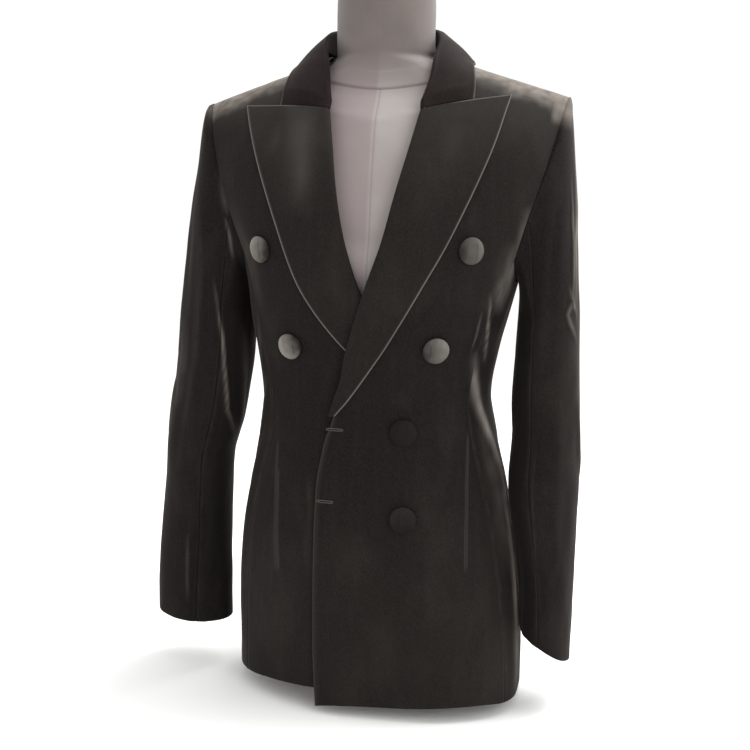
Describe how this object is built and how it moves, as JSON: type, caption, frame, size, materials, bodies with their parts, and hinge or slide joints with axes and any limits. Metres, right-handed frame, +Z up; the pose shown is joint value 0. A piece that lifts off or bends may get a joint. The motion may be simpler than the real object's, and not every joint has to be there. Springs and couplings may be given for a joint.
{
  "type": "velvet blazer on a dress form",
  "caption": "Dark velvet double-breasted blazer with wide peak lapels and covered buttons, worn by a limbless dress form.",
  "frame": {"origin": "middle of the whole part's footprint, on the surface the form stands on", "axes": "+Z up along the form, -Y the way the chest faces, +X the wearer's left"},
  "size_m": [0.5023, 0.2558, 0.79],
  "materials": {
    "black_velvet": "matte",
    "covered_button": "satin",
    "mauve_jersey": "matte"
  },
  "bodies": {
    "root": {"front_left": "black_velvet", "side_left": "black_velvet", "back_left": "black_velvet", "sleeve_top_left": "black_velvet", "sleeve_under_left": "black_velvet", "lapel_left": "black_velvet", "front_right": "black_velvet", "side_right": "black_velvet", "back_right": "black_velvet", "sleeve_top_right": "black_velvet", "sleeve_under_right": "black_velvet", "lapel_right": "black_velvet", "collar": "black_velvet", "button_1": "covered_button", "button_2": "covered_button", "button_3": "covered_button", "button_4": "covered_button", "button_5": "covered_button", "button_6": "covered_button", "form_torso": "mauve_jersey"}
  },
  "joints": []
}
